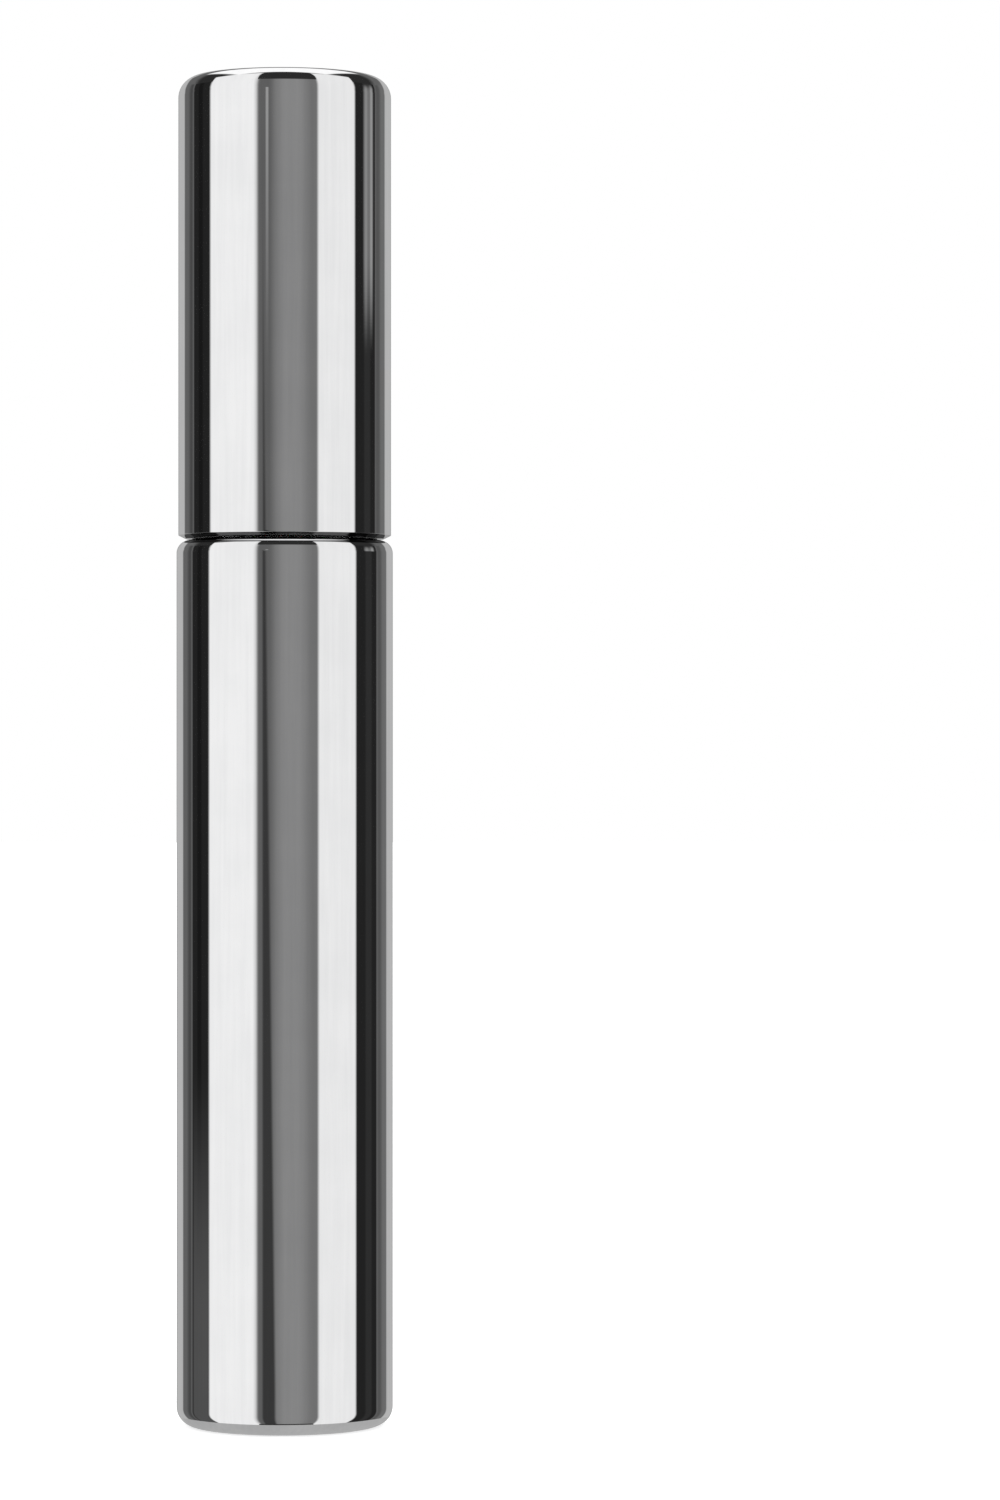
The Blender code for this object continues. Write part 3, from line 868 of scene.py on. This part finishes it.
def twisted_wire(material):
    """One wire, bent double at the tip of the brush and twisted to the left."""
    top = high("brush_wire").z
    bottom = loop_centre()
    steps = round(28 * (top - bottom) / WIRE_LEAD)

    def strand(side, i):
        z = bottom + (top - bottom) * i / steps
        opened = max(0.0, 1.0 - (z - bottom) / (WIRE_LEAD / 4))
        radius = side * (WIRE_HELIX_RADIUS + (WIRE_LOOP_RADIUS - WIRE_HELIX_RADIUS) * opened)
        return (radius * math.cos(wire_angle(z)), radius * math.sin(wire_angle(z)), z)

    bend = 14
    points = [strand(1, i) for i in range(steps, -1, -1)]
    for i in range(1, bend):
        angle = math.pi * i / bend
        sideways, down = WIRE_LOOP_RADIUS * math.cos(angle), WIRE_LOOP_RADIUS * math.sin(angle)
        points.append((sideways, 0.0, bottom - down))
    points += [strand(-1, i) for i in range(steps + 1)]
    vertices, faces = [], []
    tube_mesh(points, WIRE_RADIUS, 14, vertices, faces)
    piece = new_piece("twisted_wire", vertices, faces, material, crease_degrees=50)
    return placed(piece, "applicator", "wire", "brush_wire")


def brush_fibres(material):
    """Nylon fibres caught between the strands: two blades that wind with the wire, then are cut."""
    chance = random.Random(17)
    bottom, top = low("bristles").z, high("bristles").z
    radius = high("bristles").x
    count = round(FIBRES_PER_MM * (top - bottom) / MM)
    vertices, faces = [], []
    for i in range(count):
        z = bottom + (top - bottom) * (i + chance.random()) / count
        blade = wire_angle(z) + math.pi / 2
        for side in (0.0, math.pi):
            toward = blade + side
            fanned = 0.5 - 0.5 * math.cos(toward)
            spread = SPREAD_BUNCHED + (SPREAD_FANNED - SPREAD_BUNCHED) * fanned
            angle = toward + chance.gauss(0.0, spread)
            clump_z = (math.floor(z / CLUMP) + 0.5) * CLUMP
            pull = GATHERED * (1.0 - GATHERED_LESS * fanned)
            end_z = z + (clump_z - z) * pull + chance.gauss(0.0, END_SCATTER)
            near_tip = max(0.0, 1.0 - (z - bottom) / TIP_ZONE)
            end_z -= near_tip * chance.uniform(0.0, TIP_DROOP) * MM
            if top - z < BARE_WIRE:
                if chance.random() > STRAYS_LEFT:
                    continue
                end_z -= chance.uniform(*STRAY_DROOP) * MM
            end_z = min(max(end_z, bottom), top)
            share = min(1.0, (end_z - bottom) / BRUSH_TAPER_LENGTH)
            reach = BRUSH_TIP_RADIUS + (radius - BRUSH_TIP_RADIUS) * share
            uneven = abs(chance.gauss(0.0, CUT_SCATTER))
            reach *= 1.0 - uneven - (SHORT_BY if chance.random() < SHORT_FIBRES else 0.0)
            reach = min(reach, radius - FIBRE_RADIUS)
            bow = chance.gauss(0.0, BOW)
            path = []
            for k in range(FIBRE_STEPS + 1):
                along = k / FIBRE_STEPS
                r = FIBRE_ROOT + (reach - FIBRE_ROOT) * along
                fan = (angle - toward) * min(1.0, FAN_START + along)
                turned_by = toward + fan + bow * along * along
                height = z + (end_z - z) * along**RISE_POWER
                path.append((r * math.cos(turned_by), r * math.sin(turned_by), height))
            tube_mesh(path, FIBRE_RADIUS, FIBRE_SIDES, vertices, faces)
    piece = new_piece("brush_fibres", vertices, faces, material, crease_degrees=80)
    return placed(piece, "applicator", "bristle", "bristles")


# ---------------------------------------------------------------- the studio


def soft_white(display):
    """The light that the bright metal shows as this grey of 0 to 255 (by the sRGB curve)."""
    share = display / 255.0
    linear = share / 12.92 if share <= 0.04045 else ((share + 0.055) / 1.055) ** 2.4
    return linear / METAL_REFLECTS


# What stands round the tube, painted one over another on a pale wall. Each has its left and right
# bearing in degrees (0 is towards the camera, + to the right), the width of its soft edges in
# degrees, and its grey of 0 to 255.
PALE_WALL = 176
ROOM = [
    (-139, 0, 4, 95),  # the side walls, each with a nearer, darker end
    (-126, 0, 8, 70),
    (0, 139, 4, 104),
    (0, 126, 8, 82),
    (-119, 118, 2, 90),  # the lit edges of two black flags,
    (-116, 115, 2, 33),  # the flags themselves,
    (-107, -100, 3, 24),  # with a darker fold in the left one and a paler in the right,
    (96, 106, 4, 45),
    (-88, 81, 4, 235),  # a white card on each side,
    (36, 81, 5, 230),
    (-29, 36, 4, 110),  # and the grey room between them, behind the camera,
    (-30, -13, 10, 92),  # darker at its left end
    (-7, 22, 18, 132),  # and lighter in the middle
]

# High at the right hang a grey screen and two paler folds of it. They begin between the first
# heights (in degrees over the horizon) and fade out between the second.
HIGH_SCREENS = [(95, 111, 4, 112), (97, 101, 3, 132), (106, 110, 3, 144)]
SCREENS_FROM = (4.0, 5.2)
SCREENS_TO = (8.0, 30.0)

# The table lights the foot of the left black flag, up to between these heights.
LOW_SHEEN = (-114, -89, 4, 78)
SHEEN_TO = (-6.0, -3.0)

# A black flag left of the camera leans: its right edge moves FLAG_LEAN degrees to the left for each
# degree that it rises. Below the lowest height it stands straight.
FLAG_LEFT = (-25.0, -22.0)
FLAG_RIGHT = -17.6
FLAG_RIGHT_SOFT = (-2.2, 1.6)
FLAG_LEAN = 1.2
FLAG_LOWEST = -6.5
FLAG_SHOWN = 54

# A light tube stands upright before the flag. Each side is the pair of degrees it fades between.
TUBE_LEFT = (-21.2, -19.7)
TUBE_RIGHT = (-18.3, -16.8)
TUBE_BOTTOM = (3.6, 7.2)
TUBE_TOP = (8.0, 9.0)
TUBE_SHOWN = 150

# Everything leans back over the tube as it rises, so that it is mirrored straight up into the
# rounded top, which the camera looks up at by this angle.
LOOK_UP = math.sin(math.radians(6.6))
LEAN_BACK = 0.88
LEAN_GROWS = (7.0, 14.0)  # between these heights in degrees
LEAN_ENDS = (45.0, 60.0)  # between these tilts of the mirror

# How far a mirror tilts back (in degrees) before it looks over the room, and over the cards
ROOM_TILT = 20.5
CARD_TILT = 41.0
CARD_TILT_LOSS = 0.0045  # less by this for each square degree of the mirror's own bearing
TOP_EDGE_SOFT = (-1.0, 1.5)
CARD_LIGHT = (0.5, 0.75)  # how bright a thing must be to count as a card

# Overhead it is dark, and paler far back, with a white panel. Heights are in degrees; across and
# back are counted in heights over the tube.
LEAST_HEIGHT = 0.001  # so that nothing is divided by zero
DARK_FROM = (20.0, 27.0)
DARK_BACK = (0.9, 1.4)
DARK_NEAR, DARK_FAR = 42, 95
PANEL_LEFT = (-0.58, -0.48)
PANEL_RIGHT = (0.41, 0.5)
PANEL_NEAR = (0.06, 0.14)
PANEL_FAR = (1.2, 1.4)
PANEL_SHOWN = 250

# The pale wall darkens straight behind the tube, from the first bearing to the second.
WALL_DARKENS = (158.0, 176.0)
WALL_DARKENS_TO = 0.74

# In the gap under the cap, where light is mirrored twice
SECOND_MIRROR = (1.2, 1.8)
TABLE_HEIGHT = (-43.0, -40.0)
TABLE_SHOWN = 246
ROOM_DIMMED = 0.12

# The light on matt surfaces that face down, and up
MATT_LIGHT = (0.86, 1.12)


def painted(tree, below, bearing, thing, shown=None):
    """Something that stands in the room, painted over what is behind it."""
    left, right, soft, brightness = thing
    share = product(
        tree,
        ranged(tree, bearing, left - soft / 2, left + soft / 2, 0.0, 1.0),
        ranged(tree, bearing, right - soft / 2, right + soft / 2, 1.0, 0.0),
    )
    if shown:
        share = maths(tree, "MULTIPLY", share, shown)
    return mixed(tree, share, below, soft_white(brightness))


def between(tree, value, rise, fall):
    """1 between two soft edges and 0 outside; each edge is the pair of values it runs between."""
    return product(
        tree, ranged(tree, value, *rise, 0.0, 1.0), ranged(tree, value, *fall, 1.0, 0.0)
    )


def looked_at(tree, x, y, z):
    """A direction's bearing and height, and the bearing and tilt of a mirror that shows it."""
    front = maths(tree, "MULTIPLY", y, -1.0)
    true_bearing = maths(tree, "DEGREES", maths(tree, "ARCTAN2", x, front))
    climb = maths(tree, "DEGREES", maths(tree, "ARCSINE", z))
    facing = maths(tree, "ADD", front, math.sqrt(1.0 - LOOK_UP**2))
    faced = maths(tree, "DEGREES", maths(tree, "ARCTAN2", x, facing))
    squared = maths(tree, "ADD", product(tree, x, x), product(tree, facing, facing))
    risen = maths(tree, "SUBTRACT", z, LOOK_UP)
    tilt = maths(tree, "DEGREES", maths(tree, "ARCTAN2", risen, maths(tree, "SQRT", squared)))
    leaning = product(
        tree,
        ranged(tree, climb, *LEAN_GROWS, 0.0, LEAN_BACK),
        ranged(tree, tilt, *LEAN_ENDS, 1.0, 0.0),
    )
    bearing = mixed(tree, leaning, true_bearing, maths(tree, "MULTIPLY", faced, 2.0))
    return bearing, climb, faced, tilt


def room(tree, bearing, climb):
    """The brightness of what stands round the tube."""
    standing = soft_white(PALE_WALL)
    for thing in ROOM:
        standing = painted(tree, standing, bearing, thing)
    high_up = between(tree, climb, SCREENS_FROM, SCREENS_TO)
    for thing in HIGH_SCREENS:
        standing = painted(tree, standing, bearing, thing, high_up)
    low_down = ranged(tree, climb, *SHEEN_TO, 1.0, 0.0)
    standing = painted(tree, standing, bearing, LOW_SHEEN, low_down)

    lean = maths(tree, "MULTIPLY", maths(tree, "MAXIMUM", climb, FLAG_LOWEST), -FLAG_LEAN)
    from_edge = maths(tree, "SUBTRACT", bearing, maths(tree, "ADD", lean, FLAG_RIGHT))
    flag = product(
        tree,
        ranged(tree, from_edge, *FLAG_RIGHT_SOFT, 1.0, 0.0),
        ranged(tree, bearing, *FLAG_LEFT, 0.0, 1.0),
    )
    flagged = mixed(tree, flag, standing, soft_white(FLAG_SHOWN))
    tube = product(
        tree,
        between(tree, bearing, TUBE_LEFT, TUBE_RIGHT),
        between(tree, climb, TUBE_BOTTOM, TUBE_TOP),
    )
    with_tube = mixed(tree, tube, flagged, soft_white(TUBE_SHOWN))
    away = maths(tree, "ABSOLUTE", bearing)
    behind = ranged(tree, away, *WALL_DARKENS, 1.0, WALL_DARKENS_TO)
    return product(tree, with_tube, behind)


def with_overhead(tree, around, place, climb, faced, tilt):
    """What stands round the tube, with the dark over it and a white panel just behind the tube."""
    x, y, z = place
    is_card = ranged(tree, around, *CARD_LIGHT, 0.0, 1.0)
    card_loss = product(tree, faced, faced, CARD_TILT_LOSS)
    card_tilt = maths(tree, "SUBTRACT", CARD_TILT, card_loss)
    past = maths(tree, "SUBTRACT", tilt, mixed(tree, is_card, ROOM_TILT, card_tilt))
    over = product(
        tree,
        ranged(tree, past, *TOP_EDGE_SOFT, 0.0, 1.0),
        ranged(tree, climb, *DARK_FROM, 0.0, 1.0),
    )
    height = maths(tree, "MAXIMUM", z, LEAST_HEIGHT)
    across = maths(tree, "DIVIDE", x, height)
    back = maths(tree, "DIVIDE", y, height)
    dark = ranged(tree, back, *DARK_BACK, soft_white(DARK_NEAR), soft_white(DARK_FAR))
    under_ceiling = mixed(tree, over, around, dark)
    panel = product(
        tree,
        between(tree, across, PANEL_LEFT, PANEL_RIGHT),
        between(tree, back, PANEL_NEAR, PANEL_FAR),
    )
    return mixed(tree, panel, under_ceiling, soft_white(PANEL_SHOWN))


def studio():
    """White to the camera, soft white to matt surfaces, and a studio's room to mirrors."""
    world = bpy.data.worlds.new("studio")
    world.use_nodes = True
    tree = world.node_tree
    tree.nodes.clear()
    direction = add(tree, "ShaderNodeTexCoord").outputs["Generated"]
    to_camera = math.atan2(CAMERA_PLACE[0], -CAMERA_PLACE[1])
    about_z = {"rotation_type": "Z_AXIS"}
    turned = add(tree, "ShaderNodeVectorRotate", about_z, Vector=direction, Angle=-to_camera)
    place = add(tree, "ShaderNodeSeparateXYZ", Vector=turned.outputs[0]).outputs
    bearing, climb, faced, tilt = looked_at(tree, *place)
    around = room(tree, bearing, climb)
    mirrored = with_overhead(tree, around, place, climb, faced, tilt)

    # What is mirrored a second time, in the gap under the cap, is the white table or the dark room.
    path = add(tree, "ShaderNodeLightPath").outputs
    again = ranged(tree, path["Glossy Depth"], *SECOND_MIRROR, 0.0, 1.0)
    table = ranged(tree, climb, *TABLE_HEIGHT, 1.0, 0.0)
    dim_room = maths(tree, "MULTIPLY", mirrored, ROOM_DIMMED)
    in_gap = mixed(tree, table, dim_room, soft_white(TABLE_SHOWN))
    reflected = mixed(tree, again, mirrored, in_gap)

    # Matt surfaces are lit from all round, a little more from above.
    matt = ranged(tree, place[2], -1.0, 1.0, *MATT_LIGHT)
    through = path["Is Transmission Ray"]
    mirror = maths(tree, "SUBTRACT", path["Is Glossy Ray"], through, clamp=True)
    light = mixed(tree, mirror, matt, reflected)
    seen = maths(tree, "MAXIMUM", path["Is Camera Ray"], through)
    strength = mixed(tree, seen, light, 1.0)
    background = add(tree, "ShaderNodeBackground", Strength=strength)
    background.inputs["Color"].default_value = (1.0, 1.0, 1.0, 1.0)
    output = add(tree, "ShaderNodeOutputWorld")
    tree.links.new(background.outputs[0], output.inputs["Surface"])
    bpy.context.scene.world = world


def disc(name, radius, z, material, rings=12, segments=64):
    """A flat disc, with its rings closer together near the middle."""
    vertices, faces = [(0.0, 0.0, z)], []
    for i in range(1, rings + 1):
        for k in range(segments):
            angle = math.tau * k / segments
            r = radius * (i / rings) ** 2
            vertices.append((r * math.cos(angle), r * math.sin(angle), z))
    for k in range(segments):
        faces.append((0, 1 + k, 1 + (k + 1) % segments))
    for i in range(rings - 1):
        a, b = 1 + i * segments, 1 + (i + 1) * segments
        for k in range(segments):
            n = (k + 1) % segments
            faces.append((a + k, b + k, b + n, a + n))
    return new_piece(name, vertices, faces, material)


def curved_strip(name, inner, outer, start, end, z, material, steps=24):
    """A strip of a ring, between two angles in degrees from the camera's side."""
    vertices, faces = [], []
    toward = math.atan2(CAMERA_PLACE[1], CAMERA_PLACE[0])
    for k in range(steps + 1):
        angle = toward + math.radians(start + (end - start) * k / steps)
        for r in (inner, outer):
            vertices.append((r * math.cos(angle), r * math.sin(angle), z))
    for k in range(steps):
        faces.append((2 * k, 2 * k + 1, 2 * k + 3, 2 * k + 2))
    return new_piece(name, vertices, faces, material)


def pale_floor():
    """A pale sweep that reads as plain white, with only a breath of shadow round the foot."""
    made, tree, shader = new_material("pale floor", Emission_Strength=FLOOR_GLOW)
    shader.inputs["Emission Color"].default_value = (1.0, 1.0, 1.0, 1.0)
    shader.inputs["Specular IOR Level"].default_value = 0.0
    mottle = noise(tree, millimetres(tree), 0.05, detail=3.0)
    tone = ramp(tree, mottle, [(0.3, grey(0.84)), (0.7, grey(0.87))])
    rough = ranged(tree, mottle, 0.3, 0.7, 0.85, 0.95)
    finish_material(tree, shader, tone, rough)
    floor = disc("pale_floor", FLOOR_RADIUS, FLOOR_Z, made)
    floor.visible_glossy = False


def in_reflections_only(piece):
    piece.visible_camera = False
    piece.visible_diffuse = False
    piece.visible_transmission = False
    piece.visible_shadow = False


def painted_foot_reflections():
    """Painted reflections for the base's rounding: a glowing pale disc and a dark strip beyond it.
    """
    reach = high("bottle_shell").x + PAINTED_GLOW_REACH
    # Painted reflections: a pale disc and a dark strip that glow and are seen only in reflections.
    for name, dim, bright in (("foot_painted_reflection", 0.4, 0.45), ("foot_painted_dark_reflection", 0.02, 0.03)):
        made, tree, shader = new_material(name, Emission_Strength=1.0)
        drift = noise(tree, millimetres(tree), 0.1, detail=2.0)
        tone = ramp(tree, drift, [(0.3, grey(0.0)), (0.7, grey(0.01))])
        glow = ramp(tree, drift, [(0.3, grey(dim)), (0.7, grey(bright))])
        tree.links.new(glow, shader.inputs["Emission Color"])
        finish_material(tree, shader, tone, ranged(tree, drift, 0.3, 0.7, 0.9, 1.0))
        if name == "foot_painted_reflection":
            piece = disc(name, reach, FOOT_Z, made, rings=4)
        else:
            outer = reach + PAINTED_STRIP_WIDTH
            piece = curved_strip(name, reach, outer, PAINTED_STRIP_FROM, PAINTED_STRIP_TO, FOOT_Z, made)
        in_reflections_only(piece)


def camera():
    data = bpy.data.cameras.new("camera")
    data.lens = CAMERA_LENS
    data.sensor_width = SENSOR
    data.clip_start = 0.01
    data.clip_end = 20.0
    made = bpy.data.objects.new("camera", data)
    made.location = CAMERA_PLACE
    made.rotation_euler = (math.pi / 2, 0.0, 0.0)
    bpy.context.scene.collection.objects.link(made)
    bpy.context.scene.camera = made


def main():
    scene = bpy.context.scene
    scene.view_settings.view_transform = "Standard"
    camera()
    studio()
    pale_floor()
    painted_foot_reflections()
    metal, black = mirror_metal(), black_gloss()
    steel = turned_steel()
    bottle_case(metal)
    cap_case(metal)
    neck_collar(metal)
    vial(clear_plastic())
    wiper_sleeve(soft_plastic())
    seal_washer(foam())
    o_ring(rubber())
    cap_liner(black)
    wand(black)
    slug("base_slug", "base_weight", "bottle", steel)
    slug("cap_slug", "cap_weight", "applicator", steel)
    base_film(label_film())
    twisted_wire(drawn_wire())
    brush_fibres(nylon())


main()
